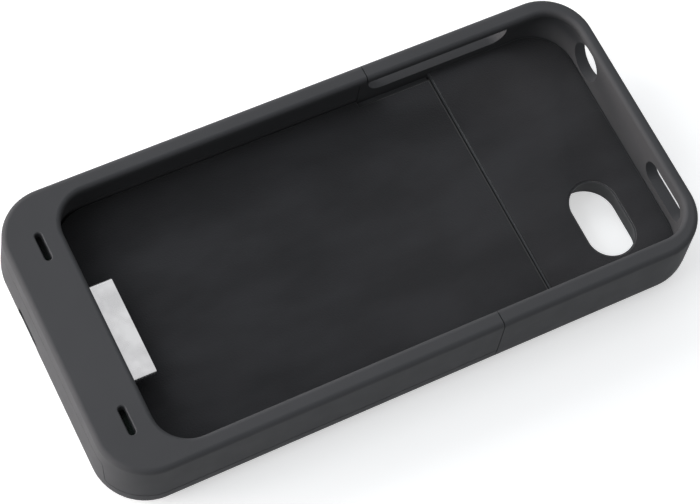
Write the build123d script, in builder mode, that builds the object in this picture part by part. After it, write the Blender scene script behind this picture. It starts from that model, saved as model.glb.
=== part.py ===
"""Battery charging case for a flat handset.

A lower body (front frame, back shell, battery and boards) and a top cap that slides
off along +Y over a trough-shaped tongue. X runs across, Y towards the cap end and
Z up from the back, in millimetres, with the origin under the middle of the back.
"""
import os
from build123d import *

os.makedirs("parts", exist_ok=True)

# Outer form
CASE_W = 63.0
CASE_L = 129.2
CASE_T = 19.0
CORNER_R = 10.8
BACK_R = 6.5
BACK_R_MARGIN = 0.5
RIM_R = 1.1
SIDE_DRAFT = 2.5
SIDE_WALL = 2.0
BACK_WALL = 1.6
TOP_WALL = 2.5
CHIN_L = 11.1
CAP_L = 48.4

# Bay for the handset and the mouth over it
BAY_R = 9.1
BAY_CLEAR = 0.3
LIP_T = 1.6
LIP_ROUND = 0.9
SIDE_LIP = 2.1
CAP_LIP = 0.5
CHIN_LIP = 1.0
MOUTH_CORNER_R = 7.2

# Seams between the mouldings
SEAM_GAP = 0.2
PART_Z = 7.9
PART_GAP = 0.2

# Bed of the bay
LINER_T = 0.4
LINER_GAP = 0.3
TRAY_T = 0.9
TRAY_GAP = 0.4

# Chin of the front frame
CHIN_PLATE = 2.0
BULKHEAD_T = 1.2
SLOT_L = 6.1
SLOT_W = 1.4
SLOT_X = 19.2
SLOT_SETBACK = 4.65
SLOT_CHAMFER = 0.2
MESH_MARGIN = 0.6
MESH_T = 0.3
SOUND_GATE_W = 9.0
SOUND_GATE_H = 3.2

# End tab of the back shell
TAB_DROP = 4.7
TAB_GAP = 0.12
TAB_HEAD_INSET = 8.0
TAB_FOOT_INSET = 6.8
TAB_HEAD_R = 1.2
TAB_FOOT_R = 1.0

# Tongue that guides the cap
TONGUE_L = 16.0
TONGUE_WALL = 1.2
TONGUE_FLOOR = 0.6
NECK_L = 6.0
SLIDE_GAP = 0.3

# Windows of the top cap
CAMERA_X = 14.5
CAMERA_FROM_END = 12.3
CAMERA_W = 17.0
CAMERA_H = 10.0
CAMERA_FLARE = 12.0
KEYS_FROM_SEAM = 2.1
KEYS_L = 32.0
KEYS_H = 6.6
POWER_X = 16.0
POWER_L = 14.0
POWER_H = 5.6
JACK_X = -16.5
JACK_D = 8.6
CORE_W = 40.0
CORE_WALL = 2.0

# Battery
BATTERY_W = 42.0
BATTERY_T = 3.2
BATTERY_R = 1.8
BATTERY_EDGE = 0.6
BATTERY_END_GAP = 2.0
BATTERY_SIDE_GAP = 0.3
BATTERY_GAP = 0.15
PAD_INSET = 4.0
STRIP_L = 3.4
STRIP_T = 1.4
STRIP_INSET = 3.0
LEAD_W = 2.4
LEAD_L = 2.4
LEAD_T = 0.3
LEAD_PITCH = 16.0

# Boards
BOARD_T = 1.0
POWER_SIDE = 13.4
POWER_BOARD_L = 21.0
BOARD_GAP = 0.3
DOCK_SIDE = 8.4
DOCK_BOARD_L = 6.3
BOARD_INSET = 2.4
DOCK_POST_INSET = 2.6
HEADER_W = 14.0
HEADER_L = 2.0
HEADER_X = 4.0

# Posts and screws
POST_D = 3.6
TRAY_POST_LOW = 8.0
TRAY_POST_HIGH = 12.0
SCREW_D = 1.4
SCREW_FIT = 0.1
SCREW_L = 3.0
HEAD_D = 2.8
HEAD_T = 0.5

# Dock plug that stands into the bay
PLUG_W = 21.4
PLUG_T = 2.5
PLUG_REACH = 6.5
PLUG_SKIN = 0.35
PLUG_R = 0.8
PLUG_BODY_W = 24.0
PLUG_BODY_L = 5.0
PLUG_BODY_H = 3.2
PLUG_TONGUE_T = 0.8
PLUG_CLEAR = 0.5
CONTACT_COUNT = 15
CONTACT_W = 0.6
CONTACT_T = 0.15

# Charging inlet
INLET_X = -9.8
INLET_W = 7.5
INLET_H = 2.65
INLET_L = 5.4
INLET_SEAT = 2.5
INLET_SKIN = 0.3
INLET_RECESS = 0.9
INLET_CLEAR = 0.5
INLET_R = 0.6
INLET_TONGUE_T = 0.7

# Parts on the power board
CHIP_W = 5.0
CHIP_T = 0.6
CHIP_GAP = 0.2
CHIP_X = 6.0
COIL_W = 5.6
COIL_T = 1.5
COIL_X = 0.0
CAPACITOR_W = 1.6
CAPACITOR_L = 0.9
CAPACITOR_T = 0.6
CAPACITOR_PITCH = 2.4
CAPACITOR_COUNT = 5

# Status lights and button, in one row across the back
ROW_SETBACK = 9.0
LIGHT_COUNT = 4
LIGHT_PITCH = 4.0
LIGHT_X = 8.0
LIGHT_D = 1.5
LIGHT_FIT = 0.1
LIGHT_BAR_T = 0.5
LIGHT_BAR_L = 2.6
LED_T = 0.6
BUTTON_X = -9.0
BUTTON_D = 5.0
BUTTON_FIT = 0.3
BUTTON_FLANGE = 0.8
BUTTON_FLANGE_T = 0.4
BUTTON_RECESS = 0.2
BUTTON_TRAVEL = 0.4
BUTTON_DISH_R = 14.0
BUTTON_DISH = 0.1
SWITCH_W = 4.5
SWITCH_T = 0.7
SWITCH_STEM_D = 2.0

# Levels and places worked out from the sizes above
back_round = min(BACK_R, CORNER_R - BACK_R_MARGIN, PART_Z - BACK_R_MARGIN)
end_y = -CASE_L / 2
bay_w = CASE_W - 2 * SIDE_WALL
bay_top = CASE_L / 2 - TOP_WALL
bay_low = end_y + CHIN_L
bay_l = bay_top - bay_low
bay_y = (bay_top + bay_low) / 2
mouth_w = bay_w - 2 * SIDE_LIP
mouth_top = bay_top - CAP_LIP
mouth_low = bay_low + CHIN_LIP
mouth_y = (mouth_top + mouth_low) / 2
mouth_l = mouth_top - mouth_low
battery_z = BACK_WALL + SLIDE_GAP + TONGUE_FLOOR + BATTERY_GAP
tray_z = battery_z + BATTERY_T + BATTERY_GAP
tray_top = tray_z + TRAY_T
bed_z = tray_top + LINER_T
lip_z = CASE_T - LIP_T
chin_z = CASE_T - CHIN_PLATE
seam_y = CASE_L / 2 - CAP_L
body_top = seam_y - SEAM_GAP / 2
cap_low = seam_y + SEAM_GAP / 2
tongue_top = seam_y + TONGUE_L
frame_z = PART_Z + PART_GAP
tab_top = CASE_T - TAB_DROP
tab_head = CASE_W / 2 - TAB_HEAD_INSET
tab_foot = CASE_W / 2 - TAB_FOOT_INSET
bulkhead_y = bay_low - BULKHEAD_T
slot_y = mouth_low - SLOT_SETBACK
plug_z = (bed_z + lip_z - BAY_CLEAR) / 2
dock_top = plug_z - PLUG_BODY_H / 2
dock_z = dock_top - BOARD_T
dock_y = bulkhead_y - BOARD_GAP - DOCK_BOARD_L / 2
dock_board_w = CASE_W - 2 * DOCK_SIDE
dock_post_x = dock_board_w / 2 - DOCK_POST_INSET
power_board_w = CASE_W - 2 * POWER_SIDE
power_top = tray_z - CHIP_T - CHIP_GAP
power_z = power_top - BOARD_T
inlet_y = end_y + INLET_RECESS
inlet_z = power_top + INLET_H / 2
power_low = inlet_y + INLET_L - INLET_SEAT
power_high = power_low + POWER_BOARD_L
power_y = (power_low + power_high) / 2
row_y = power_high - ROW_SETBACK
lead_y = power_high + LEAD_L / 2
strip_y = power_high + LEAD_L + STRIP_L / 2
battery_low = strip_y + STRIP_L / 2
battery_high = tongue_top - TONGUE_WALL - BATTERY_END_GAP
battery_y = (battery_low + battery_high) / 2
camera_y = bay_top - CAMERA_FROM_END
keys_y = seam_y + KEYS_FROM_SEAM + KEYS_L / 2
slot_spots = [(-SLOT_X, slot_y), (SLOT_X, slot_y)]
tray_post_ys = (bay_low + TRAY_POST_LOW, body_top - TRAY_POST_HIGH)
tray_post_x = BATTERY_W / 2 + BATTERY_SIDE_GAP + POST_D / 2
tray_posts = [(side * tray_post_x, y) for y in tray_post_ys for side in (-1, 1)]
power_post_x = power_board_w / 2 - BOARD_INSET
power_post_ys = (power_low + INLET_SEAT + BOARD_INSET, power_high - BOARD_INSET)
power_posts = [(side * power_post_x, y) for y in power_post_ys for side in (-1, 1)]
dock_posts = [(side * dock_post_x, dock_y) for side in (-1, 1)]
light_spots = [
    (LIGHT_X + (i - (LIGHT_COUNT - 1) / 2) * LIGHT_PITCH, row_y) for i in range(LIGHT_COUNT)
]


def case_form(inset, floor):
    """The case's rounded form drawn in by inset at its sides, with its back at floor.

    It is widest at the parting line, and its walls lean in above that.
    """
    with BuildSketch(Plane.XY.offset(PART_Z)) as widest:
        RectangleRounded(CASE_W - 2 * inset, CASE_L - 2 * inset, CORNER_R - inset)
    with BuildPart() as form:
        extrude(widest.sketch, amount=floor - PART_Z)
        fillet(form.edges().group_by(Axis.Z)[0], radius=back_round - inset)
        extrude(widest.sketch, amount=CASE_T - PART_Z, taper=SIDE_DRAFT)
    return form.part


def span(y_low, y_high, z_low, z_high):
    """A block across the whole case between two lengths and two heights."""
    with BuildPart() as block:
        with BuildSketch(Plane.XY.offset(z_low)):
            with Locations((0, (y_low + y_high) / 2)):
                Rectangle(2 * CASE_W, y_high - y_low)
        extrude(amount=z_high - z_low)
    return block.part


def tab_view(grow):
    """The end tab seen from its end, with every edge moved out by grow."""
    skirt = tab_foot + TAB_FOOT_R
    base = PART_Z - PART_GAP
    with BuildSketch(Plane.XZ.offset(-end_y)) as view:
        with BuildLine():
            side = [(0, tab_top), (tab_head, tab_top), (tab_foot, PART_Z)]
            edge = FilletPolyline(*side, (skirt, PART_Z), radius=[TAB_HEAD_R, TAB_FOOT_R])
            Polyline(edge @ 1, (skirt, base), (0, base))
            mirror(about=Plane.YZ)
        make_face()
        if grow > 0:
            offset(amount=grow)
    return view.sketch


def screws(spots, seat_z):
    """Pan-head screws, one at each spot, with their heads on a seat at seat_z."""
    with BuildPart() as group:
        with BuildSketch(Plane.XY.offset(seat_z)):
            with Locations(*spots):
                Circle(HEAD_D / 2)
        extrude(amount=HEAD_T)
        with BuildSketch(Plane.XY.offset(seat_z)):
            with Locations(*spots):
                Circle(SCREW_D / 2)
        extrude(amount=-SCREW_L)
    return group.part


def finish(piece, name):
    """Name a finished piece and write it out."""
    piece.label = name
    export_step(piece, f"parts/{name}.step")


# Bay and mouth
with BuildPart() as bay:
    with BuildSketch(Plane.XY.offset(tray_top)):
        with Locations((0, bay_y)):
            RectangleRounded(bay_w, bay_l, BAY_R)
    extrude(amount=lip_z - tray_top)

# Outer form with the mouth and its soft lip
with BuildPart() as rim_form:
    add(case_form(0, 0))
    fillet(rim_form.edges().group_by(Axis.Z)[-1], radius=RIM_R)
    with BuildSketch(Plane.XY.offset(lip_z)):
        with Locations((0, mouth_y)):
            RectangleRounded(mouth_w, mouth_l, MOUTH_CORNER_R)
    extrude(amount=LIP_T, mode=Mode.SUBTRACT)
    mouth_edges = rim_form.faces().sort_by(Axis.Z)[-1].inner_wires()[0].edges()
    fillet(mouth_edges, radius=min(LIP_ROUND, LIP_T * 0.8))
    add(bay.part, mode=Mode.SUBTRACT)

# Front frame: chin with its sound slots and two side skirts
with BuildPart() as front_frame:
    add(rim_form.part)
    add(span(end_y, body_top, frame_z, CASE_T), mode=Mode.INTERSECT)
    with BuildSketch(Plane.XY.offset(frame_z)):
        RectangleRounded(CASE_W - 2 * SIDE_WALL, CASE_L - 2 * SIDE_WALL, CORNER_R - SIDE_WALL)
        with Locations((0, bulkhead_y - CASE_L / 2)):
            Rectangle(CASE_W, CASE_L, mode=Mode.INTERSECT)
    extrude(amount=chin_z - frame_z, mode=Mode.SUBTRACT)
    extrude(tab_view(TAB_GAP), amount=SIDE_WALL + TAB_GAP, dir=(0, 1, 0), mode=Mode.SUBTRACT)
    with BuildSketch(Plane.XZ.offset(-bulkhead_y)):
        with Locations((0, plug_z)):
            Rectangle(PLUG_BODY_W + 2 * PLUG_CLEAR, PLUG_BODY_H + 2 * PLUG_CLEAR)
        with Locations((0, (frame_z + plug_z) / 2)):
            Rectangle(PLUG_BODY_W + 2 * PLUG_CLEAR, plug_z - frame_z)
        with Locations((-SLOT_X, plug_z), (SLOT_X, plug_z)):
            SlotOverall(SOUND_GATE_W, SOUND_GATE_H)
    extrude(amount=-BULKHEAD_T, mode=Mode.SUBTRACT)
    with BuildSketch(Plane.XY.offset(chin_z)):
        with Locations(*slot_spots):
            SlotOverall(SLOT_L, SLOT_W)
    extrude(amount=CHIN_PLATE, mode=Mode.SUBTRACT)
    slot_wires = front_frame.faces().sort_by(Axis.Z)[-1].inner_wires()
    chamfer([edge for wire in slot_wires for edge in wire.edges()], length=SLOT_CHAMFER)
finish(front_frame.part, "front_frame")

# Trough-shaped tongue, with a neck that joins it to the back shell
with BuildPart() as tongue:
    add(case_form(SIDE_WALL + SLIDE_GAP, BACK_WALL + SLIDE_GAP))
    add(span(body_top - NECK_L, tongue_top, 0, tray_z), mode=Mode.INTERSECT)
with BuildPart() as neck:
    add(case_form(SIDE_WALL, BACK_WALL))
    add(span(body_top - NECK_L, body_top, 0, tray_z), mode=Mode.INTERSECT)
with BuildPart() as trough:
    trough_inset = SIDE_WALL + SLIDE_GAP + TONGUE_WALL
    add(case_form(trough_inset, BACK_WALL + SLIDE_GAP + TONGUE_FLOOR))
    add(span(body_top - NECK_L, tongue_top - TONGUE_WALL, 0, CASE_T), mode=Mode.INTERSECT)

# Back shell: rounded back, end tab with the inlet, posts and tongue
with BuildPart() as back_shell:
    add(rim_form.part)
    add(case_form(SIDE_WALL, BACK_WALL), mode=Mode.SUBTRACT)
    add(span(end_y, body_top, 0, PART_Z), mode=Mode.INTERSECT)
with BuildPart() as end_tab:
    extrude(tab_view(0), amount=SIDE_WALL, dir=(0, 1, 0))
    add(rim_form.part, mode=Mode.INTERSECT)
with BuildPart() as inlet_mouth:
    with BuildSketch(Plane.XZ.offset(-end_y)):
        with Locations((INLET_X, inlet_z)):
            RectangleRounded(
                INLET_W + 2 * INLET_CLEAR, INLET_H + 2 * INLET_CLEAR, INLET_R + INLET_CLEAR
            )
    extrude(amount=-(INLET_RECESS + INLET_L))
with back_shell:
    add(end_tab.part)
    add(neck.part)
    add(tongue.part)
    add(trough.part, mode=Mode.SUBTRACT)
    with BuildSketch(Plane.XY.offset(BACK_WALL)):
        with Locations(*tray_posts):
            Circle(POST_D / 2)
    extrude(amount=tray_z - BACK_WALL)
    with BuildSketch(Plane.XY.offset(BACK_WALL)):
        with Locations(*power_posts):
            Circle(POST_D / 2)
    extrude(amount=power_z - BACK_WALL)
    with BuildSketch(Plane.XY.offset(BACK_WALL)):
        with Locations(*dock_posts):
            Circle(POST_D / 2)
    extrude(amount=dock_z - BACK_WALL)
    with BuildSketch(Plane.XY.offset(tray_z)):
        with Locations(*tray_posts):
            Circle((SCREW_D + SCREW_FIT) / 2)
    extrude(amount=-SCREW_L, mode=Mode.SUBTRACT)
    with BuildSketch(Plane.XY.offset(power_z)):
        with Locations(*power_posts):
            Circle((SCREW_D + SCREW_FIT) / 2)
    extrude(amount=-(SCREW_L - BOARD_T), mode=Mode.SUBTRACT)
    with BuildSketch(Plane.XY.offset(dock_z)):
        with Locations(*dock_posts):
            Circle((SCREW_D + SCREW_FIT) / 2)
    extrude(amount=-SCREW_L, mode=Mode.SUBTRACT)
    add(inlet_mouth.part, mode=Mode.SUBTRACT)
    with BuildSketch():
        with Locations((BUTTON_X, row_y)):
            Circle(BUTTON_D / 2 + BUTTON_FIT)
        with Locations(*light_spots):
            Circle((LIGHT_D + LIGHT_FIT) / 2)
    extrude(amount=BACK_WALL, mode=Mode.SUBTRACT)
finish(back_shell.part, "back_shell")

# Top cap: a sleeve over the tongue and the far end of the handset
with BuildPart() as cap_core:
    with BuildSketch(Plane.XY.offset(BACK_WALL)):
        core_top = camera_y - CAMERA_H / 2 - CORE_WALL - CORE_WALL
        with Locations((0, (tongue_top + core_top) / 2)):
            Rectangle(CORE_W, core_top - tongue_top)
    extrude(amount=tray_z - BACK_WALL)
with BuildPart() as top_cap:
    add(rim_form.part)
    add(span(cap_low, CASE_L / 2, 0, CASE_T), mode=Mode.INTERSECT)
with BuildPart() as socket:
    add(case_form(SIDE_WALL, BACK_WALL))
    add(span(seam_y, tongue_top + SLIDE_GAP, 0, tray_top), mode=Mode.INTERSECT)
with top_cap:
    add(socket.part, mode=Mode.SUBTRACT)
    add(cap_core.part, mode=Mode.SUBTRACT)
    with BuildSketch(Plane.XY.offset(tray_top)):
        with Locations((CAMERA_X, camera_y)):
            SlotOverall(CAMERA_W, CAMERA_H)
    extrude(amount=-tray_top, taper=-CAMERA_FLARE, mode=Mode.SUBTRACT)
    with BuildSketch(Plane.YZ.offset(-CASE_W / 2)):
        with Locations((keys_y, plug_z)):
            SlotOverall(KEYS_L, KEYS_H)
    extrude(amount=SIDE_WALL + BAY_CLEAR, mode=Mode.SUBTRACT)
    with BuildSketch(Plane.XZ.offset(end_y)):
        with Locations((POWER_X, plug_z)):
            SlotOverall(POWER_L, POWER_H)
        with Locations((JACK_X, plug_z)):
            Circle(JACK_D / 2)
    extrude(amount=TOP_WALL + BAY_CLEAR, mode=Mode.SUBTRACT)
finish(top_cap.part, "top_cap")

# Tray over the battery, which is the floor of the bay
tray_w = CASE_W - 2 * (SIDE_WALL + SLIDE_GAP + TONGUE_WALL)
with BuildPart() as chassis_tray:
    with BuildSketch(Plane.XY.offset(tray_z)):
        with Locations((0, (bay_low + TRAY_GAP + tongue_top) / 2)):
            RectangleRounded(tray_w, tongue_top - bay_low - TRAY_GAP, BAY_R)
        with Locations((0, tongue_top - BAY_R / 2)):
            Rectangle(tray_w, BAY_R)
    extrude(amount=TRAY_T)
    with BuildSketch(Plane.XY.offset(tray_z)):
        with Locations(*tray_posts):
            Circle((SCREW_D + SCREW_FIT) / 2)
    extrude(amount=TRAY_T, mode=Mode.SUBTRACT)
    with BuildSketch(Plane.XY.offset(tray_top - HEAD_T)):
        with Locations(*tray_posts):
            Circle(HEAD_D / 2 + SCREW_FIT)
    extrude(amount=HEAD_T, mode=Mode.SUBTRACT)
finish(chassis_tray.part, "chassis_tray")

# Soft lining on the bed, in the lower body and in the cap
with BuildPart() as bed_liner:
    with BuildSketch(Plane.XY.offset(tray_top)):
        with Locations((0, bay_y)):
            RectangleRounded(bay_w - 2 * LINER_GAP, bay_l - 2 * LINER_GAP, BAY_R - LINER_GAP)
        with Locations((0, body_top - LINER_GAP - CASE_L / 2)):
            Rectangle(CASE_W, CASE_L, mode=Mode.INTERSECT)
        with Locations((0, (body_top + tongue_top) / 2 - LINER_GAP)):
            Rectangle(tray_w - 2 * LINER_GAP, tongue_top - body_top)
    extrude(amount=LINER_T)
finish(bed_liner.part, "bed_liner")

with BuildPart() as cap_liner:
    with BuildSketch(Plane.XY.offset(tray_top)):
        with Locations((0, bay_y)):
            RectangleRounded(bay_w - 2 * LINER_GAP, bay_l - 2 * LINER_GAP, BAY_R - LINER_GAP)
        with Locations((0, tongue_top + SLIDE_GAP + LINER_GAP + CASE_L / 2)):
            Rectangle(CASE_W, CASE_L, mode=Mode.INTERSECT)
        with Locations((CAMERA_X, camera_y)):
            SlotOverall(CAMERA_W + 2 * LINER_GAP, CAMERA_H + 2 * LINER_GAP, mode=Mode.SUBTRACT)
    extrude(amount=LINER_T)
finish(cap_liner.part, "cap_liner")

# Battery pouch on its foam pad, with its protection strip and two leads
with BuildPart() as battery_cell:
    with BuildSketch(Plane.XY.offset(battery_z)):
        with Locations((0, battery_y)):
            RectangleRounded(BATTERY_W, battery_high - battery_low, BATTERY_R)
    extrude(amount=BATTERY_T)
    chamfer(battery_cell.faces().filter_by(Axis.Z).edges(), length=BATTERY_EDGE)
finish(battery_cell.part, "battery_cell")

pad_top = body_top - NECK_L - LINER_GAP
pad_low = battery_low + PAD_INSET
with BuildPart() as battery_pad:
    with BuildSketch(Plane.XY.offset(BACK_WALL)):
        with Locations((0, (pad_low + pad_top) / 2)):
            Rectangle(BATTERY_W - 2 * PAD_INSET, pad_top - pad_low)
    extrude(amount=battery_z - BACK_WALL)
finish(battery_pad.part, "battery_pad")

strip_z = battery_z + BATTERY_T / 2
with BuildPart() as protection_strip:
    with BuildSketch(Plane.XY.offset(strip_z - STRIP_T / 2)):
        with Locations((0, strip_y)):
            Rectangle(BATTERY_W - 2 * STRIP_INSET, STRIP_L)
    extrude(amount=STRIP_T)
finish(protection_strip.part, "protection_strip")

with BuildPart() as battery_leads:
    with BuildSketch(Plane.XY.offset(power_z + (BOARD_T - LEAD_T) / 2)):
        with Locations((-LEAD_PITCH / 2, lead_y), (LEAD_PITCH / 2, lead_y)):
            Rectangle(LEAD_W, LEAD_L)
    extrude(amount=LEAD_T)
finish(battery_leads.part, "battery_leads")

# Power board under the tray and dock board in the chin, joined by a pin header
with BuildPart() as power_board:
    with BuildSketch(Plane.XY.offset(power_z)):
        with Locations((0, power_y)):
            RectangleRounded(power_board_w, POWER_BOARD_L, BOARD_INSET / 2)
        with Locations(*power_posts):
            Circle((SCREW_D + SCREW_FIT) / 2, mode=Mode.SUBTRACT)
    extrude(amount=BOARD_T)
finish(power_board.part, "power_board")

with BuildPart() as dock_board:
    with BuildSketch(Plane.XY.offset(dock_z)):
        with Locations((0, dock_y)):
            RectangleRounded(dock_board_w, DOCK_BOARD_L, BOARD_INSET / 2)
        with Locations(*dock_posts):
            Circle((SCREW_D + SCREW_FIT) / 2, mode=Mode.SUBTRACT)
    extrude(amount=BOARD_T)
finish(dock_board.part, "dock_board")

header_y = dock_y + DOCK_BOARD_L / 2 - HEADER_L / 2
with BuildPart() as board_header:
    with BuildSketch(Plane.XY.offset(power_top)):
        with Locations((HEADER_X, header_y)):
            Rectangle(HEADER_W, HEADER_L)
    extrude(amount=dock_z - power_top)
finish(board_header.part, "board_header")

# Dock plug: moulded body, metal shell, tongue and contacts
plug_body_y = bulkhead_y - BOARD_GAP - PLUG_BODY_L / 2
plug_root = plug_body_y + PLUG_BODY_L / 2
plug_tip = bay_low + PLUG_REACH
with BuildPart() as dock_plug_body:
    with BuildSketch(Plane.XY.offset(dock_top)):
        with Locations((0, plug_body_y)):
            RectangleRounded(PLUG_BODY_W, PLUG_BODY_L, PLUG_R)
    extrude(amount=PLUG_BODY_H)
finish(dock_plug_body.part, "dock_plug_body")

with BuildPart() as dock_plug_shell:
    with BuildSketch(Plane.XZ.offset(-plug_root)):
        with Locations((0, plug_z)):
            RectangleRounded(PLUG_W, PLUG_T, PLUG_R)
            RectangleRounded(
                PLUG_W - 2 * PLUG_SKIN, PLUG_T - 2 * PLUG_SKIN, PLUG_R - PLUG_SKIN, mode=Mode.SUBTRACT
            )
    extrude(amount=-(plug_tip - plug_root))
finish(dock_plug_shell.part, "dock_plug_shell")

plug_tongue_w = PLUG_W - 2 * PLUG_SKIN - 2 * PLUG_CLEAR
plug_tongue_tip = plug_tip - PLUG_CLEAR
with BuildPart() as dock_plug_tongue:
    with BuildSketch(Plane.XZ.offset(-plug_root)):
        with Locations((0, plug_z - PLUG_TONGUE_T / 2)):
            Rectangle(plug_tongue_w, PLUG_TONGUE_T)
    extrude(amount=-(plug_tongue_tip - plug_root))
finish(dock_plug_tongue.part, "dock_plug_tongue")

with BuildPart() as dock_contacts:
    with BuildSketch(Plane.XY.offset(plug_z)):
        with Locations((0, (plug_root + plug_tongue_tip) / 2)):
            with GridLocations(plug_tongue_w / CONTACT_COUNT, 1, CONTACT_COUNT, 1):
                Rectangle(CONTACT_W, plug_tongue_tip - plug_root - PLUG_CLEAR)
    extrude(amount=CONTACT_T)
finish(dock_contacts.part, "dock_contacts")

# Charging inlet on the power board
with BuildPart() as inlet_shell:
    with BuildSketch(Plane.XZ.offset(-inlet_y)):
        with Locations((INLET_X, inlet_z)):
            RectangleRounded(INLET_W, INLET_H, INLET_R)
            RectangleRounded(
                INLET_W - 2 * INLET_SKIN, INLET_H - 2 * INLET_SKIN, INLET_R - INLET_SKIN, mode=Mode.SUBTRACT
            )
    extrude(amount=-INLET_L)
finish(inlet_shell.part, "inlet_shell")

with BuildPart() as inlet_tongue:
    with BuildSketch(Plane.XZ.offset(-(inlet_y + INLET_L))):
        with Locations((INLET_X, inlet_z)):
            Rectangle(INLET_W - 2 * INLET_SKIN - 2 * SCREW_FIT, INLET_H - 2 * INLET_SKIN - 2 * SCREW_FIT)
    extrude(amount=INLET_SKIN)
    with BuildSketch(Plane.XZ.offset(-(inlet_y + INLET_L))):
        with Locations((INLET_X, inlet_z + INLET_TONGUE_T / 2)):
            Rectangle(INLET_W - 2 * INLET_SKIN - 2 * INLET_CLEAR, INLET_TONGUE_T)
    extrude(amount=INLET_L - INLET_CLEAR)
finish(inlet_tongue.part, "inlet_tongue")

# Parts on the power board
chip_y = power_y
with BuildPart() as control_chips:
    with BuildSketch(Plane.XY.offset(power_top)):
        with Locations((-CHIP_X, chip_y), (CHIP_X, chip_y)):
            Rectangle(CHIP_W, CHIP_W)
    extrude(amount=CHIP_T)
finish(control_chips.part, "control_chips")

coil_y = power_low + BOARD_INSET + COIL_W / 2
with BuildPart() as charge_coil:
    with BuildSketch(Plane.XY.offset(power_z)):
        with Locations((COIL_X, coil_y)):
            RectangleRounded(COIL_W, COIL_W, COIL_W / 4)
    extrude(amount=-COIL_T)
finish(charge_coil.part, "charge_coil")

capacitor_y = power_high - BOARD_INSET
with BuildPart() as capacitors:
    with BuildSketch(Plane.XY.offset(power_top)):
        with Locations((0, capacitor_y)):
            with GridLocations(CAPACITOR_PITCH, 1, CAPACITOR_COUNT, 1):
                Rectangle(CAPACITOR_W, CAPACITOR_L)
    extrude(amount=CAPACITOR_T)
finish(capacitors.part, "capacitors")

# Status lights: chips on the board and one light guide through the back
with BuildPart() as status_lights:
    with BuildSketch(Plane.XY.offset(power_z)):
        with Locations(*light_spots):
            Rectangle(LIGHT_D, LIGHT_D / 2)
    extrude(amount=-LED_T)
finish(status_lights.part, "status_lights")

with BuildPart() as light_guide:
    with BuildSketch(Plane.XY.offset(BACK_WALL)):
        with Locations((LIGHT_X, row_y)):
            SlotOverall(LIGHT_COUNT * LIGHT_PITCH, LIGHT_BAR_L)
    extrude(amount=LIGHT_BAR_T)
    with BuildSketch(Plane.XY.offset(BACK_WALL)):
        with Locations(*light_spots):
            Circle(LIGHT_D / 2)
    extrude(amount=BUTTON_RECESS - BACK_WALL)
finish(light_guide.part, "light_guide")

# Status button with a dished face, and the switch that it presses
with BuildPart() as status_button:
    with BuildSketch(Plane.XY.offset(BUTTON_RECESS)):
        with Locations((BUTTON_X, row_y)):
            Circle(BUTTON_D / 2)
    extrude(amount=BACK_WALL + SCREW_FIT - BUTTON_RECESS)
    with BuildSketch(Plane.XY.offset(BACK_WALL + SCREW_FIT)):
        with Locations((BUTTON_X, row_y)):
            Circle(BUTTON_D / 2 + BUTTON_FLANGE)
    extrude(amount=BUTTON_FLANGE_T)
    with Locations((BUTTON_X, row_y, BUTTON_RECESS + BUTTON_DISH - BUTTON_DISH_R)):
        Sphere(BUTTON_DISH_R, mode=Mode.SUBTRACT)
finish(status_button.part, "status_button")

button_top = BACK_WALL + SCREW_FIT + BUTTON_FLANGE_T
stem_z = button_top + BUTTON_TRAVEL + SCREW_FIT
with BuildPart() as tact_switch:
    with BuildSketch(Plane.XY.offset(power_z)):
        with Locations((BUTTON_X, row_y)):
            RectangleRounded(SWITCH_W, SWITCH_W, BOARD_INSET / 4)
    extrude(amount=-SWITCH_T)
    with BuildSketch(Plane.XY.offset(power_z)):
        with Locations((BUTTON_X, row_y)):
            Circle(SWITCH_STEM_D / 2)
    extrude(amount=stem_z - power_z)
finish(tact_switch.part, "tact_switch")

# Acoustic mesh under the two sound slots
with BuildPart() as sound_mesh:
    with BuildSketch(Plane.XY.offset(chin_z)):
        with Locations(*slot_spots):
            SlotOverall(SLOT_L + 2 * MESH_MARGIN, SLOT_W + 2 * MESH_MARGIN)
    extrude(amount=-MESH_T)
finish(sound_mesh.part, "sound_mesh")

# Screws
finish(screws(tray_posts, tray_top - HEAD_T), "tray_screws")
finish(screws(power_posts, power_top), "power_board_screws")
finish(screws(dock_posts, dock_top), "dock_board_screws")
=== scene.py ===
"""Looks for a battery charging case: finishes, linings, sound gauze and stage.

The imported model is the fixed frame. Every piece made here rides on one of its bodies,
in metres, with X across the case, Y towards the cap end and Z up from the back.
"""
import math

import bmesh
import bpy
from mathutils import Matrix, Vector


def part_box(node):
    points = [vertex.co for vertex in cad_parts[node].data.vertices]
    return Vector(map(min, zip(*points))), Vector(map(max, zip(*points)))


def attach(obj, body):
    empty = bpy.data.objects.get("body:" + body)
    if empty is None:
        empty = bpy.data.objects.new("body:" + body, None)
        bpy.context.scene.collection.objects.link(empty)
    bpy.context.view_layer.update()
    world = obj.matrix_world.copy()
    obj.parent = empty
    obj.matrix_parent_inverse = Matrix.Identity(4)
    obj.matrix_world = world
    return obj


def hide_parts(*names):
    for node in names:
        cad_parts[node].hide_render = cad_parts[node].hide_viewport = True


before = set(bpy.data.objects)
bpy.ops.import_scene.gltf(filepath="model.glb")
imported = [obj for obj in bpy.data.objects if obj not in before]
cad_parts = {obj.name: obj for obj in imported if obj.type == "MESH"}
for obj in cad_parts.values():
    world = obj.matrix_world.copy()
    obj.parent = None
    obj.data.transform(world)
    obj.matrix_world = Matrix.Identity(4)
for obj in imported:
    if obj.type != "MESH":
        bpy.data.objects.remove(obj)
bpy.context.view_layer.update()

bl_info = {
    "name": "Battery Charging Case",
    "version": (1, 0, 0),
    "blender": (4, 5, 0),
    "location": "View3D > Sidebar > Charging Case",
    "description": "Dresses the packed charging case with its finishes, linings and stage",
    "category": "Object",
}

# Noise values between which a finish goes from its smoothest to its roughest
NOISE_LOW = 0.3
NOISE_HIGH = 0.7

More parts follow.
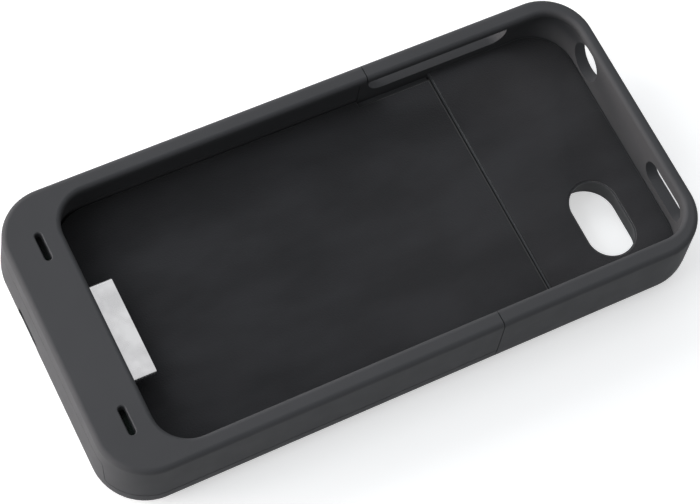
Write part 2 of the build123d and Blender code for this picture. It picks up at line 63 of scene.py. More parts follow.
# Moulded plastic: size and depth of its grain, size of its colour drift, spread of roughness
PLASTIC_GRAIN = 0.0004
PLASTIC_GRAIN_DEPTH = 0.000012
PLASTIC_DRIFT = 0.012
PLASTIC_SPREAD = 0.06

# Drawn metal: width and depth of its lines, size of its stains and clouds, spread of roughness
METAL_LINE = 0.0003
METAL_LINE_DEPTH = 0.000001
METAL_STAIN = 0.004
METAL_CLOUD = 0.002
METAL_SPREAD = 0.02

# Stretches that draw the lines of a metal out along Y or along Z
DRAWN_ALONG_Y = (1.0, 0.12, 1.0)
DRAWN_ALONG_Z = (1.0, 1.0, 0.2)

# Soft-touch coat: its weak gloss, and the size of its colour drift, rubbed spots and waves
COAT_IOR = 1.2
COAT_DRIFT = 0.018
COAT_RUB = 0.004
COAT_WAVE = 0.006
COAT_WAVE_DEPTH = 0.00001

# Lining: size, stretch and depth of its brush strokes, and depth of its tufts
STROKE = 0.009
STROKE_STRETCH = (1.0, 0.45, 1.0)
STROKE_DEPTH = 0.00015
TUFT_DEPTH = 0.00012

# Lining: distance at which corners are welded, bend at which faces are joined, how straight up
# a face of its upper side looks, and steps of its rounded edge
WELD = 0.000001
JOIN_BEND = math.radians(1.0)
LOOKS_UP = 0.9
EDGE_STEPS = 4

# Gauze: sides of a wire, steps of a wire in one pitch and at least, steps of a round end
WIRE_SIDES = 6
WIRE_STEPS = 4
WIRE_LEAST_STEPS = 8
RIM_STEPS = 12

# Gauze: size and depth of the spots of its black finish
GAUZE_SPOT = 0.0003
GAUZE_SPOT_DEPTH = 0.000004

# Light guide: size and depth of its frost, size of its colour drift
FROST = 0.0002
FROST_DEPTH = 0.000006
GUIDE_DRIFT = 0.002

# Small moulded parts: size of their grain, and the coarser grain of the tray
FINE_GRAIN = 0.0003
CHIP_GRAIN = 0.0002
TRAY_GRAIN = 0.0005

# Boards: scale, gap and height of the tracks, and size of the spots of the mask over them
TRACK_SCALE = 420.0
TRACK_GAP = 0.03
TRACK_HEIGHT = 0.00003
MASK_SPOT = 0.0015

# Battery pouch: size and depth of its creases, whose dips are painted darker as shade, and
# size of its grain
CREASE = 0.006
CREASE_DEPTH = 0.0003
FOIL_GRAIN = 0.001

# Battery pad: rounding as a share of its thickness, cuts along it, how far its sides draw in
PAD_ROUNDING = 0.3
PAD_ROUNDING_STEPS = 3
PAD_CUTS = 11
PAD_DRAW = 0.02

# Battery pad: size and depth of the cells of its foam, whose pits are painted darker as shade
FOAM_CELL = 0.0004
FOAM_CELL_DEPTH = 0.0001

# Place, width and height of each soft light, and the point that they all face
SIDE_LIGHT = ((-0.30, -0.55, 0.10), 0.5, 0.1)
FRONT_LIGHT = ((0.0, -0.45, 0.50), 0.3, 0.3)
TOP_LIGHT = ((-0.85, -0.30, 0.90), 0.5, 0.5)
LIGHT_AIM = (0.0, -0.02, 0.01)

# Way to the bright side of the room, and the leans to it at which the room is dim and bright
BRIGHT_SIDE = (-0.5, -0.4, 0.75)
LEAN_DIM = -0.2
LEAN_BRIGHT = 0.8

# Reach of the floor and corners of its edge
FLOOR_RADIUS = 9.0
FLOOR_CORNERS = 96

# Width of the camera's sensor in millimetres, and the nearest and farthest that it sees
SENSOR_WIDTH = 36.0
SEES_FROM = 0.01
SEES_TO = 50.0

WHITE = (1.0, 1.0, 1.0, 1.0)


class CoatSettings(bpy.types.PropertyGroup):
    """The soft-touch coat on the three mouldings of the housing."""

    colour: bpy.props.FloatVectorProperty(
        name="Coat colour",
        description="Main colour of the soft-touch coat",
        subtype="COLOR",
        size=3,
        min=0.0,
        max=1.0,
        default=(0.0675, 0.0685, 0.0725),
    )
    shade: bpy.props.FloatVectorProperty(
        name="Coat shade",
        description="Slightly darker colour that the coat drifts to",
        subtype="COLOR",
        size=3,
        min=0.0,
        max=1.0,
        default=(0.0630, 0.0640, 0.0675),
    )
    grain: bpy.props.FloatProperty(
        name="Grain size",
        description="Size of the coat's fine grain",
        default=0.00022,
        min=0.00005,
        max=0.005,
        unit="LENGTH",
        precision=5,
    )
    grain_depth: bpy.props.FloatProperty(
        name="Grain depth",
        description="Height of the coat's fine grain",
        default=0.000012,
        min=0.0,
        max=0.001,
        unit="LENGTH",
        precision=6,
    )
    smoothest: bpy.props.FloatProperty(
        name="Lowest roughness",
        description="Roughness where the coat is smoothest",
        default=0.64,
        min=0.0,
        max=1.0,
        subtype="FACTOR",
    )
    roughest: bpy.props.FloatProperty(
        name="Highest roughness",
        description="Roughness where the coat is roughest",
        default=0.72,
        min=0.0,
        max=1.0,
        subtype="FACTOR",
    )


class LiningSettings(bpy.types.PropertyGroup):
    """The soft linings on the bed of the bay."""

    colour: bpy.props.FloatVectorProperty(
        name="Lining colour",
        description="Colour of the lining where its nap stands up",
        subtype="COLOR",
        size=3,
        min=0.0,
        max=1.0,
        default=(0.020, 0.020, 0.022),
    )
    brushed: bpy.props.FloatVectorProperty(
        name="Brushed colour",
        description="Colour of the lining where its nap lies flat",
        subtype="COLOR",
        size=3,
        min=0.0,
        max=1.0,
        default=(0.030, 0.030, 0.033),
    )
    edge: bpy.props.FloatProperty(
        name="Edge rounding",
        description="Radius of the lining's upper edge",
        default=0.00022,
        min=0.00002,
        max=0.001,
        unit="LENGTH",
        precision=5,
    )
    nap: bpy.props.FloatProperty(
        name="Nap size",
        description="Size of the tufts of the nap",
        default=0.00035,
        min=0.00005,
        max=0.005,
        unit="LENGTH",
        precision=5,
    )


class GauzeSettings(bpy.types.PropertyGroup):
    """The woven gauze under the two sound slots."""

    wire: bpy.props.FloatProperty(
        name="Wire thickness",
        description="Diameter of the gauze's wires",
        default=0.00011,
        min=0.00002,
        max=0.001,
        unit="LENGTH",
        precision=5,
    )
    pitch: bpy.props.FloatProperty(
        name="Wire pitch",
        description="Distance from one wire to the next",
        default=0.00030,
        min=0.0001,
        max=0.005,
        unit="LENGTH",
        precision=5,
    )
    rim: bpy.props.FloatProperty(
        name="Rim width",
        description="Width of the flat rim that holds the wires",
        default=0.00055,
        min=0.0001,
        max=0.005,
        unit="LENGTH",
        precision=5,
    )


class StageSettings(bpy.types.PropertyGroup):
    """Camera, floor and lights."""

    azimuth: bpy.props.FloatProperty(
        name="Camera azimuth",
        description="Turn of the camera about the upright axis",
        default=math.radians(50.475),
        subtype="ANGLE",
    )
    elevation: bpy.props.FloatProperty(
        name="Camera elevation",
        description="Height of the camera above the floor as an angle",
        default=math.radians(63.880),
        subtype="ANGLE",
    )
    roll: bpy.props.FloatProperty(
        name="Camera roll",
        description="Turn of the camera about its own axis",
        default=math.radians(14.357),
        subtype="ANGLE",
    )
    distance: bpy.props.FloatProperty(
        name="Camera distance",
        description="Distance from the camera to the point that it looks at",
        default=0.431757,
        unit="LENGTH",
    )
    target: bpy.props.FloatVectorProperty(
        name="Camera target",
        description="Point that the camera looks at",
        default=(0.005193, -0.004206, 0.019),
        size=3,
        subtype="XYZ",
        unit="LENGTH",
        precision=5,
    )
    lens: bpy.props.FloatProperty(
        name="Lens",
        description="Focal length of the camera, in millimetres on a 36 mm sensor",
        default=115.845,
        unit="CAMERA",
    )
    floor_colour: bpy.props.FloatVectorProperty(
        name="Floor colour",
        description="Colour of the floor under the case",
        subtype="COLOR",
        size=3,
        min=0.0,
        max=1.0,
        default=(0.86, 0.86, 0.86),
    )
    floor_glow: bpy.props.FloatProperty(
        name="Floor glow",
        description="Light that the floor adds for the camera and for reflections",
        default=0.51,
        min=0.0,
        max=1.0,
    )
    side_power: bpy.props.FloatProperty(
        name="Side light power",
        description="Power of the low strip light beside the chin end",
        default=4.55,
        min=0.0,
        unit="POWER",
    )
    side_colour: bpy.props.FloatVectorProperty(
        name="Side light colour",
        description="Colour of the low strip light beside the chin end",
        subtype="COLOR",
        size=3,
        min=0.0,
        max=1.0,
        default=(1.0, 0.92, 0.88),
    )
    front_power: bpy.props.FloatProperty(
        name="Front light power",
        description="Power of the soft light in front of the chin end",
        default=0.92,
        min=0.0,
        unit="POWER",
    )
    top_power: bpy.props.FloatProperty(
        name="Top light power",
        description="Power of the soft light above the case",
        default=3.1,
        min=0.0,
        unit="POWER",
    )
    plain_colour: bpy.props.FloatVectorProperty(
        name="Plain light colour",
        description="Colour of the room, of the front light and of the top light",
        subtype="COLOR",
        size=3,
        min=0.0,
        max=1.0,
        default=(0.95, 0.975, 1.0),
    )
    room_light: bpy.props.FloatProperty(
        name="Room light",
        description="Level of the soft light from the bright side of the room",
        default=0.68,
        min=0.0,
    )
    room_shade: bpy.props.FloatProperty(
        name="Room shade",
        description="Level of the soft light from the dim side of the room",
        default=0.03,
        min=0.0,
    )


class Finish:
    """A node material under construction: its tree, its shader and its surface coordinates."""

    def __init__(self, name):
        self.material = bpy.data.materials.new(name)
        self.material.use_nodes = True
        self.tree = self.material.node_tree
        self.tree.nodes.clear()
        output = self.add("ShaderNodeOutputMaterial")
        self.shader = self.add("ShaderNodeBsdfPrincipled")
        self.join(self.shader.outputs["BSDF"], output.inputs["Surface"])
        self.place = self.add("ShaderNodeTexCoord").outputs["Object"]

    def add(self, kind):
        """A new node of this kind."""
        return self.tree.nodes.new(kind)

    def join(self, start, end):
        """A link between two sockets."""
        self.tree.links.new(start, end)

    def set(self, **values):
        """Even values on the shader's own sockets."""
        for name, value in values.items():
            self.shader.inputs[name.replace("_", " ")].default_value = value

    def stretched(self, scale):
        """Surface coordinates stretched by a scale along each axis."""
        mapping = self.add("ShaderNodeMapping")
        mapping.inputs["Scale"].default_value = scale
        self.join(self.place, mapping.inputs["Vector"])
        return mapping.outputs["Vector"]

    def mottle(self, size, detail=2.0, place=None):
        """A noise whose spots are about this size, from 0 to 1."""
        noise = self.add("ShaderNodeTexNoise")
        noise.inputs["Scale"].default_value = 1.0 / size
        noise.inputs["Detail"].default_value = detail
        self.join(place or self.place, noise.inputs["Vector"])
        return noise.outputs["Fac"]

    def cells(self, size):
        """Distance to the middle of cells of about this size."""
        cells = self.add("ShaderNodeTexVoronoi")
        cells.inputs["Scale"].default_value = 1.0 / size
        self.join(self.place, cells.inputs["Vector"])
        return cells.outputs["Distance"]

    def colour(self, source, low, high, start=0.35, end=0.65):
        """Base colour that goes from low to high as the source rises."""
        ramp = self.add("ShaderNodeValToRGB")
        ramp.color_ramp.elements[0].position = start
        ramp.color_ramp.elements[0].color = (*low, 1.0)
        ramp.color_ramp.elements[1].position = end
        ramp.color_ramp.elements[1].color = (*high, 1.0)
        self.join(source, ramp.inputs["Fac"])
        self.join(ramp.outputs["Color"], self.shader.inputs["Base Color"])

    def roughness(self, source, low, high):
        """Roughness that goes from low to high as the source rises."""
        span = self.add("ShaderNodeMapRange")
        span.inputs["From Min"].default_value = NOISE_LOW
        span.inputs["From Max"].default_value = NOISE_HIGH
        span.inputs["To Min"].default_value = low
        span.inputs["To Max"].default_value = high
        self.join(source, span.inputs["Value"])
        self.join(span.outputs["Result"], self.shader.inputs["Roughness"])

    def relief(self, source, depth, strength=1.0, over=None):
        """Bump of this depth from the source, on top of an earlier one."""
        bump = self.add("ShaderNodeBump")
        bump.inputs["Distance"].default_value = depth
        bump.inputs["Strength"].default_value = strength
        self.join(source, bump.inputs["Height"])
        if over:
            self.join(over, bump.inputs["Normal"])
        self.join(bump.outputs["Normal"], self.shader.inputs["Normal"])
        return bump.outputs["Normal"]


def coat(piece, finish):
    """Give a piece this finish in place of the ones that it has."""
    piece.data.materials.clear()
    piece.data.materials.append(finish.material)


def coat_nodes(finish, *names):
    """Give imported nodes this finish."""
    for name in names:
        coat(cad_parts[name], finish)


def new_piece(name, shape, body, node):
    """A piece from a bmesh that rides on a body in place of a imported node."""
    mesh = bpy.data.meshes.new(name)
    bmesh.ops.recalc_face_normals(shape, faces=shape.faces)
    shape.to_mesh(mesh)
    shape.free()
    mesh.shade_smooth()
    piece = bpy.data.objects.new(name, mesh)
    bpy.context.scene.collection.objects.link(piece)
    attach(piece, body)
    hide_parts(node)
    return piece


def plain_plastic(name, low, high, rough, grain=PLASTIC_GRAIN):
    """A moulded plastic with a fine even grain."""
    finish = Finish(name)
    spots = finish.mottle(grain, detail=3.0)
    finish.colour(finish.mottle(PLASTIC_DRIFT), low, high)
    finish.roughness(spots, rough - PLASTIC_SPREAD, rough + PLASTIC_SPREAD)
    finish.relief(spots, PLASTIC_GRAIN_DEPTH)
    return finish


def drawn_metal(name, low, high, rough, drawn=DRAWN_ALONG_Y):
    """A metal with faint drawing lines along one axis."""
    finish = Finish(name)
    finish.set(Metallic=1.0)
    lines = finish.mottle(METAL_LINE, detail=1.0, place=finish.stretched(drawn))
    finish.colour(finish.mottle(METAL_STAIN), low, high)
    clouds = finish.mottle(METAL_CLOUD, detail=1.0)
    finish.roughness(clouds, rough - METAL_SPREAD, rough + METAL_SPREAD)
    finish.relief(lines, METAL_LINE_DEPTH)
    return finish


class CASE_OT_housing(bpy.types.Operator):
    """Coat the front frame, the back shell and the top cap"""

    bl_idname = "charging_case.housing"
    bl_label = "Coat the Housing"

    def execute(self, context):
        settings = context.scene.case_coat
        finish = Finish("soft_touch_coat")
        finish.set(IOR=COAT_IOR)
        drift = finish.mottle(COAT_DRIFT, detail=4.0)
        finish.colour(drift, settings.shade, settings.colour)
        rubbed = finish.mottle(COAT_RUB, detail=4.0)
        finish.roughness(rubbed, settings.smoothest, settings.roughest)
        grain = finish.relief(finish.mottle(settings.grain), settings.grain_depth)
        finish.relief(finish.mottle(COAT_WAVE, detail=1.0), COAT_WAVE_DEPTH, over=grain)
        coat_nodes(finish, "front_frame", "back_shell", "top_cap")
        return {"FINISHED"}


class CASE_OT_linings(bpy.types.Operator):
    """Lay the two soft linings on the bed of the bay"""

    bl_idname = "charging_case.linings"
    bl_label = "Lay the Linings"

    def execute(self, context):
        settings = context.scene.case_lining
        edge, finish = settings.edge, self.nap_finish(settings)
        self.lay("bed_lining", "bed_liner", "lower_body", "chassis_tray", edge, finish)
        self.lay("cap_lining", "cap_liner", "cap", "top_cap", edge, finish)
        return {"FINISHED"}

    def nap_finish(self, settings):
        """Short brushed nap with a soft sheen."""
        finish = Finish("lining_nap")
        finish.set(Roughness=0.92, Specular_IOR_Level=0.15)
        finish.set(Sheen_Weight=0.25, Sheen_Roughness=0.55)
        strokes = finish.mottle(STROKE, detail=3.0, place=finish.stretched(STROKE_STRETCH))
        finish.colour(strokes, settings.colour, settings.brushed)
        tufts = finish.mottle(settings.nap, detail=4.0)
        rough = finish.relief(tufts, TUFT_DEPTH, strength=0.8)
        finish.relief(strokes, STROKE_DEPTH, strength=0.3, over=rough)
        return finish

    def lay(self, name, node, body, bed, edge, finish):
        """One lining cut to the node's outline, with a rounded upper edge."""
        shape = bmesh.new()
        shape.from_mesh(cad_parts[node].data)
        bmesh.ops.remove_doubles(shape, verts=shape.verts, dist=WELD)
        bmesh.ops.dissolve_limit(
            shape, angle_limit=JOIN_BEND, verts=shape.verts, edges=shape.edges
        )
        shape.normal_update()
        upper = [face for face in shape.faces if face.normal.z > LOOKS_UP]
        area = sum(face.calc_area() for face in upper)
        rim = [
            line for line in shape.edges if sum(face in upper for face in line.link_faces) == 1
        ]
        bmesh.ops.bevel(
            shape,
            geom=rim,
            offset=edge,
            segments=EDGE_STEPS,
            profile=0.5,
            affect="EDGES",
            clamp_overlap=True,
        )
        piece = new_piece(name, shape, body, node)
        coat(piece, finish)


class CASE_OT_gauze(bpy.types.Operator):
    """Weave the gauze under the two sound slots"""

    bl_idname = "charging_case.gauze"
    bl_label = "Weave the Sound Gauze"

    def execute(self, context):
        settings = context.scene.case_gauze
        low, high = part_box("sound_mesh")
        depth = high.y - low.y
        shape = bmesh.new()
        length = self.slot_length()
        for side in (-1.0, 1.0):
            middle = Vector((side * (high.x - length / 2), (low.y + high.y) / 2, high.z))
            self.rim(shape, middle, length, depth, settings.rim, high.z - low.z)
            self.weave(shape, middle, length, depth, settings, low.z)
        piece = new_piece("sound_gauze", shape, "lower_body", "sound_mesh")
        finish = Finish("blackened_gauze")
        finish.set(Metallic=0.6)
        spots = finish.mottle(GAUZE_SPOT)
        finish.colour(spots, low=(0.012, 0.012, 0.013), high=(0.022, 0.022, 0.024))
        finish.roughness(spots, low=0.45, high=0.62)
        finish.relief(spots, GAUZE_SPOT_DEPTH)
        coat(piece, finish)
        return {"FINISHED"}

    def slot_length(self):
        """Length of one of the two pieces of gauze."""
        places = sorted(vert.co.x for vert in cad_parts["sound_mesh"].data.vertices)
        inner = min(place for place in places if place > 0.0)
        return places[-1] - inner

    def outline(self, middle, length, depth):
        """Points round a slot-shaped outline."""
        radius = depth / 2
        points = []
        for end in (1.0, -1.0):
            for step in range(RIM_STEPS + 1):
                turn = math.pi * (step / RIM_STEPS - 0.5)
                along = end * ((length - depth) / 2 + radius * math.cos(turn))
                points.append(middle + Vector((along, end * radius * math.sin(turn), 0.0)))
        return points

    def rim(self, shape, middle, length, depth, width, thickness):
        """Flat rim under the chin plate that holds the wires."""
        drop = Vector((0.0, 0.0, -thickness))
        rings = []
        for narrow, shift in ((0.0, 0.0), (0.0, 1.0), (width, 1.0), (width, 0.0)):
            points = self.outline(middle, length - 2 * narrow, depth - 2 * narrow)
            rings.append([shape.verts.new(point + drop * shift) for point in points])
        count = len(rings[0])
        for ring, following in zip(rings, rings[1:] + rings[:1]):
            for i in range(count):
                j = (i + 1) % count
                shape.faces.new((ring[i], ring[j], following[j], following[i]))

    def weave(self, shape, middle, length, depth, settings, floor):
        """Wires both ways, each over one and under the next."""
        level = Vector((middle.x, middle.y, (middle.z + floor) / 2))
        reach = length / 2 - settings.rim / 2
        half = depth / 2 - settings.rim / 2
        along = int(half / settings.pitch)
        for row in range(-along, along + 1):
            off = row * settings.pitch
            far = reach - half + math.sqrt(half * half - off * off)
            line = [level + Vector((0.0, off, 0.0)), Vector((1.0, 0.0, 0.0))]
            self.wire(shape, line, far, settings, row)
        across = int(reach / settings.pitch)
        for row in range(-across, across + 1):
            off = row * settings.pitch
            past = max(abs(off) - (reach - half), 0.0)
            far = math.sqrt(max(half * half - past * past, 0.0))
            if far > settings.pitch:
                line = [level + Vector((off, 0.0, 0.0)), Vector((0.0, 1.0, 0.0))]
                self.wire(shape, line, far, settings, row + 1)

    def wire(self, shape, line, far, settings, parity):
        """One waving wire through the middle of its line, out to far on both sides."""
        start, way = line
        radius = settings.wire / 2
        side = Vector((0.0, 0.0, 1.0)).cross(way)
        steps = max(int(2 * far / settings.pitch) * WIRE_STEPS, WIRE_LEAST_STEPS)
        rings = []
        for step in range(steps + 1):
            run = far * (2 * step / steps - 1)
            wave = radius * math.cos(math.pi * (run / settings.pitch + parity))
            point = start + way * run + Vector((0.0, 0.0, wave))
            ring = []
            for i in range(WIRE_SIDES):
                turn = math.tau * i / WIRE_SIDES
                rise = Vector((0.0, 0.0, radius * math.sin(turn)))
                ring.append(shape.verts.new(point + side * (radius * math.cos(turn)) + rise))
            rings.append(ring)
        for ring, following in zip(rings, rings[1:]):
            for i in range(WIRE_SIDES):
                j = (i + 1) % WIRE_SIDES
                shape.faces.new((ring[i], ring[j], following[j], following[i]))
        shape.faces.new(reversed(rings[0]))
        shape.faces.new(rings[-1])


class CASE_OT_connectors(bpy.types.Operator):
    """Finish the dock plug and the charging inlet"""

    bl_idname = "charging_case.connectors"
    bl_label = "Finish the Connectors"

    def execute(self, context):
        steel = drawn_metal(
            "plated_steel", low=(0.55, 0.55, 0.56), high=(0.66, 0.66, 0.67), rough=0.28
        )
        coat_nodes(steel, "dock_plug_shell", "inlet_shell")
        gold = drawn_metal(
            "gold_contacts", low=(0.80, 0.56, 0.22), high=(0.92, 0.68, 0.32), rough=0.24
        )
        coat_nodes(gold, "dock_contacts")
        black = plain_plastic(
            "connector_plastic",
            low=(0.010, 0.010, 0.010),
            high=(0.017, 0.017, 0.018),
            rough=0.5,
        )
        coat_nodes(black, "dock_plug_body", "dock_plug_tongue", "inlet_tongue", "board_header")
        return {"FINISHED"}


class CASE_OT_status_row(bpy.types.Operator):
    """Finish the status button, its switch and the status lights"""

    bl_idname = "charging_case.status_row"
    bl_label = "Finish the Status Row"

    def execute(self, context):
        key = plain_plastic(
            "button_plastic",
            low=(0.014, 0.014, 0.015),
            high=(0.021, 0.021, 0.022),
            rough=0.36,
            grain=FINE_GRAIN,
        )
        coat_nodes(key, "status_button", "tact_switch")
        guide = Finish("frosted_guide")
        guide.set(Transmission_Weight=0.35, IOR=1.49)
        frost = guide.mottle(FROST)
        drift = guide.mottle(GUIDE_DRIFT)
        guide.colour(drift, low=(0.66, 0.68, 0.70), high=(0.78, 0.80, 0.82))
        guide.roughness(frost, low=0.30, high=0.46)
        guide.relief(frost, FROST_DEPTH)
        coat_nodes(guide, "light_guide")
        lamp = plain_plastic(
            "lamp_body",
            low=(0.72, 0.72, 0.66),
            high=(0.84, 0.84, 0.78),
            rough=0.42,
            grain=FINE_GRAIN,
        )
        coat_nodes(lamp, "status_lights")
        return {"FINISHED"}


class CASE_OT_boards(bpy.types.Operator):
    """Finish the two boards, the parts on them and their screws"""

    bl_idname = "charging_case.boards"
    bl_label = "Finish the Boards"

    def execute(self, context):
        coat_nodes(self.solder_mask(), "power_board", "dock_board", "protection_strip")
        epoxy = plain_plastic(
            "chip_epoxy",
            low=(0.012, 0.012, 0.013),
            high=(0.020, 0.020, 0.021),
            rough=0.55,
            grain=CHIP_GRAIN,
        )
        coat_nodes(epoxy, "control_chips")
        ferrite = plain_plastic(
            "coil_ferrite",
            low=(0.030, 0.030, 0.032),
            high=(0.050, 0.050, 0.052),
            rough=0.62,
            grain=FINE_GRAIN,
        )
        coat_nodes(ferrite, "charge_coil")
        ceramic = plain_plastic(
            "capacitor_ceramic",
            low=(0.34, 0.25, 0.16),
            high=(0.42, 0.32, 0.21),
            rough=0.5,
            grain=FINE_GRAIN,
        )
        coat_nodes(ceramic, "capacitors")
        steel = drawn_metal(
            "screw_steel",
            low=(0.42, 0.42, 0.43),
            high=(0.54, 0.54, 0.55),
            rough=0.34,
            drawn=DRAWN_ALONG_Z,
        )
        coat_nodes(steel, "tray_screws", "power_board_screws", "dock_board_screws")
        return {"FINISHED"}

    def solder_mask(self):
        """Solder mask over raised tracks."""
        finish = Finish("board_mask")
        tracks = finish.add("ShaderNodeTexBrick")
        tracks.inputs["Scale"].default_value = TRACK_SCALE
        tracks.inputs["Mortar Size"].default_value = TRACK_GAP
        finish.join(finish.place, tracks.inputs["Vector"])
        finish.colour(
            tracks.outputs["Fac"],
            low=(0.008, 0.050, 0.028),
            high=(0.016, 0.082, 0.046),
            start=0.2,
            end=0.8,
        )
        finish.roughness(finish.mottle(MASK_SPOT, detail=3.0), low=0.30, high=0.42)
        finish.relief(tracks.outputs["Fac"], TRACK_HEIGHT)
        return finish


class CASE_OT_battery(bpy.types.Operator):
    """Finish the battery, its pad, its leads and the tray over it"""

    bl_idname = "charging_case.battery"
    bl_label = "Finish the Battery and Tray"

    def execute(self, context):
        foil = Finish("pouch_foil")
        foil.set(Metallic=0.9)
        creases = foil.mottle(CREASE, detail=5.0)
        # The foil is painted darker in the dips of its creases and lighter on their crests:
        # painted shade and highlight.
        foil.colour(creases, low=(0.50, 0.51, 0.53), high=(0.62, 0.63, 0.65))
        foil.roughness(foil.mottle(FOIL_GRAIN, detail=3.0), low=0.30, high=0.42)
        foil.relief(creases, CREASE_DEPTH, strength=0.4)
        coat_nodes(foil, "battery_cell")
        copper = drawn_metal(
            "lead_copper", low=(0.78, 0.38, 0.24), high=(0.88, 0.48, 0.32), rough=0.3
        )
        coat_nodes(copper, "battery_leads")
        tray = plain_plastic(
            "tray_plastic",
            low=(0.016, 0.016, 0.017),
            high=(0.023, 0.023, 0.024),
            rough=0.5,
            grain=TRAY_GRAIN,
        )
        coat_nodes(tray, "chassis_tray")
        self.pad()
        return {"FINISHED"}

    def pad(self):
        """Foam pad under the battery, with soft edges and sides that draw in a little."""
        low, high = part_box("battery_pad")
        size = high - low
        middle = (low + high) / 2
        shape = bmesh.new()
        bmesh.ops.create_cube(shape, size=1.0)
        bmesh.ops.scale(shape, verts=shape.verts, vec=size)
        bmesh.ops.translate(shape, verts=shape.verts, vec=middle)
        bmesh.ops.bevel(
            shape,
            geom=shape.edges[:],
            offset=size.z * PAD_ROUNDING,
            segments=PAD_ROUNDING_STEPS,
            profile=0.5,
            affect="EDGES",
        )
        long = [line for line in shape.edges if line.calc_length() > size.x / 2]
        bmesh.ops.subdivide_edges(shape, edges=long, cuts=PAD_CUTS, use_grid_fill=True)
        for vert in shape.verts:
            off = vert.co - middle
            vert.co.x -= PAD_DRAW * off.x * (1.0 - (2 * off.y / size.y) ** 2)
            vert.co.y -= PAD_DRAW * off.y * (1.0 - (2 * off.x / size.x) ** 2)
        piece = new_piece("battery_foam", shape, "lower_body", "battery_pad")
        foam = Finish("pad_foam")
        foam.set(Roughness=0.95)
        cells = foam.cells(FOAM_CELL)
        # The foam is painted darker in the pits of its cells: painted shade.
        foam.colour(
            cells,
            low=(0.012, 0.012, 0.013),
            high=(0.035, 0.035, 0.037),
            start=0.1,
            end=0.6,
        )
        foam.relief(cells, FOAM_CELL_DEPTH, strength=0.7)
        coat(piece, foam)


def seen_rays(tree):
    """One for the rays that show a background: straight, mirrored or through glass."""
    rays = tree.nodes.new("ShaderNodeLightPath")
    seen = rays.outputs["Is Camera Ray"]
    for kind in ("Is Glossy Ray", "Is Transmission Ray"):
        either = tree.nodes.new("ShaderNodeMath")
        either.operation = "MAXIMUM"
        tree.links.new(seen, either.inputs[0])
        tree.links.new(rays.outputs[kind], either.inputs[1])
        seen = either.outputs[0]
    return seen


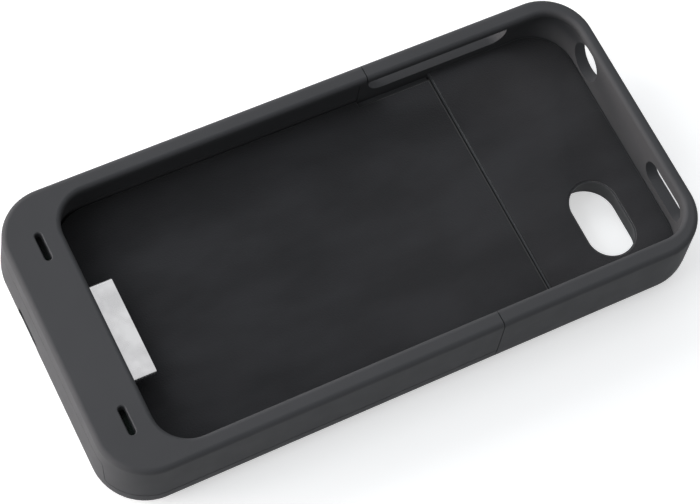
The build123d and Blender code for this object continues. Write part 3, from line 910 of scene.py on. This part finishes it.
class CASE_OT_stage(bpy.types.Operator):
    """Set the floor, the lights and the camera"""

    bl_idname = "charging_case.stage"
    bl_label = "Set the Stage"

    def execute(self, context):
        settings = context.scene.case_stage
        context.scene.view_settings.view_transform = "Standard"
        self.floor(settings)
        self.room(context.scene, settings)
        plain, warm = settings.plain_colour, settings.side_colour
        self.soft_light("side_light", SIDE_LIGHT, settings.side_power, warm)
        self.soft_light("front_light", FRONT_LIGHT, settings.front_power, plain)
        self.soft_light("top_light", TOP_LIGHT, settings.top_power, plain)
        self.camera(context.scene, settings)
        return {"FINISHED"}

    def floor(self, settings):
        """Wide pale floor that shows white and keeps the shadow."""
        shape = bmesh.new()
        bmesh.ops.create_circle(
            shape, cap_ends=True, radius=FLOOR_RADIUS, segments=FLOOR_CORNERS
        )
        mesh = bpy.data.meshes.new("floor")
        shape.to_mesh(mesh)
        shape.free()
        piece = bpy.data.objects.new("floor", mesh)
        bpy.context.scene.collection.objects.link(piece)
        finish = Finish("floor_paint")
        finish.set(Base_Color=(*settings.floor_colour, 1.0), Emission_Color=WHITE)
        finish.set(Roughness=0.9, Specular_IOR_Level=0.1)
        glow = finish.add("ShaderNodeMath")
        glow.operation = "MULTIPLY"
        glow.inputs[1].default_value = settings.floor_glow
        finish.join(seen_rays(finish.tree), glow.inputs[0])
        finish.join(glow.outputs[0], finish.shader.inputs["Emission Strength"])
        coat(piece, finish)

    def room(self, scene, settings):
        """Soft light from one side of the room, white where it shows past the floor."""
        world = bpy.data.worlds.new("room")
        world.use_nodes = True
        tree = world.node_tree
        tree.nodes.clear()
        output = tree.nodes.new("ShaderNodeOutputWorld")
        way = tree.nodes.new("ShaderNodeTexCoord")
        lean = tree.nodes.new("ShaderNodeVectorMath")
        lean.operation = "DOT_PRODUCT"
        lean.inputs[1].default_value = Vector(BRIGHT_SIDE).normalized()
        level = tree.nodes.new("ShaderNodeMapRange")
        level.inputs["From Min"].default_value = LEAN_DIM
        level.inputs["From Max"].default_value = LEAN_BRIGHT
        level.inputs["To Min"].default_value = settings.room_shade
        level.inputs["To Max"].default_value = settings.room_light
        soft = tree.nodes.new("ShaderNodeBackground")
        soft.inputs["Color"].default_value = (*settings.plain_colour, 1.0)
        tree.links.new(way.outputs["Generated"], lean.inputs[0])
        tree.links.new(lean.outputs["Value"], level.inputs["Value"])
        tree.links.new(level.outputs["Result"], soft.inputs["Strength"])
        white = tree.nodes.new("ShaderNodeBackground")
        white.inputs["Color"].default_value = WHITE
        mix = tree.nodes.new("ShaderNodeMixShader")
        tree.links.new(seen_rays(tree), mix.inputs["Fac"])
        tree.links.new(soft.outputs["Background"], mix.inputs[1])
        tree.links.new(white.outputs["Background"], mix.inputs[2])
        tree.links.new(mix.outputs["Shader"], output.inputs["Surface"])
        scene.world = world

    def soft_light(self, name, panel, power, colour):
        """A rectangular soft light that points at the case."""
        place, width, height = panel
        lamp = bpy.data.lights.new(name, "AREA")
        lamp.shape = "RECTANGLE"
        lamp.size = width
        lamp.size_y = height
        lamp.energy = power
        lamp.color = colour
        light = bpy.data.objects.new(name, lamp)
        light.location = place
        way = Vector(LIGHT_AIM) - Vector(place)
        light.rotation_euler = way.to_track_quat("-Z", "Y").to_euler()
        bpy.context.scene.collection.objects.link(light)

    def camera(self, scene, settings):
        """Camera at the photograph's angle."""
        turn, rise, roll = settings.azimuth, settings.elevation, settings.roll
        level = Vector((math.sin(turn), -math.cos(turn), 0.0))
        back = level * math.cos(rise) + Vector((0.0, 0.0, math.sin(rise)))
        right = Vector((math.cos(turn), math.sin(turn), 0.0))
        up = back.cross(right)
        across = right * math.cos(roll) + up * math.sin(roll)
        upright = up * math.cos(roll) - right * math.sin(roll)
        lens = bpy.data.cameras.new("camera")
        lens.sensor_width = SENSOR_WIDTH
        lens.lens = settings.lens
        lens.clip_start = SEES_FROM
        lens.clip_end = SEES_TO
        camera = bpy.data.objects.new("camera", lens)
        place = Vector(settings.target) + back * settings.distance
        turned = Matrix((across, upright, back)).transposed().to_4x4()
        camera.matrix_world = Matrix.Translation(place) @ turned
        scene.collection.objects.link(camera)
        scene.camera = camera


STEPS = (
    CASE_OT_housing,
    CASE_OT_linings,
    CASE_OT_gauze,
    CASE_OT_connectors,
    CASE_OT_status_row,
    CASE_OT_boards,
    CASE_OT_battery,
    CASE_OT_stage,
)
GROUPS = (
    ("case_coat", CoatSettings),
    ("case_lining", LiningSettings),
    ("case_gauze", GauzeSettings),
    ("case_stage", StageSettings),
)


class CASE_PT_dressing(bpy.types.Panel):
    """Lists the steps that dress the case."""

    bl_idname = "CASE_PT_dressing"
    bl_label = "Charging Case"
    bl_space_type = "VIEW_3D"
    bl_region_type = "UI"
    bl_category = "Charging Case"

    def draw(self, context):
        for step in STEPS:
            self.layout.operator(step.bl_idname)
        for name, group in GROUPS:
            box = self.layout.box()
            for setting in group.__annotations__:
                box.prop(getattr(context.scene, name), setting)


def register():
    """Add the settings, the steps and the panel."""
    for name, group in GROUPS:
        bpy.utils.register_class(group)
        setattr(bpy.types.Scene, name, bpy.props.PointerProperty(type=group))
    for step in STEPS:
        bpy.utils.register_class(step)
    bpy.utils.register_class(CASE_PT_dressing)


def unregister():
    """Take the panel, the steps and the settings away again."""
    bpy.utils.unregister_class(CASE_PT_dressing)
    for step in reversed(STEPS):
        bpy.utils.unregister_class(step)
    for name, group in reversed(GROUPS):
        delattr(bpy.types.Scene, name)
        bpy.utils.unregister_class(group)


def main():
    """Dress the case and set the stage."""
    register()
    bpy.ops.charging_case.housing()
    bpy.ops.charging_case.linings()
    bpy.ops.charging_case.gauze()
    bpy.ops.charging_case.connectors()
    bpy.ops.charging_case.status_row()
    bpy.ops.charging_case.boards()
    bpy.ops.charging_case.battery()
    bpy.ops.charging_case.stage()


if __name__ == "__main__":
    main()
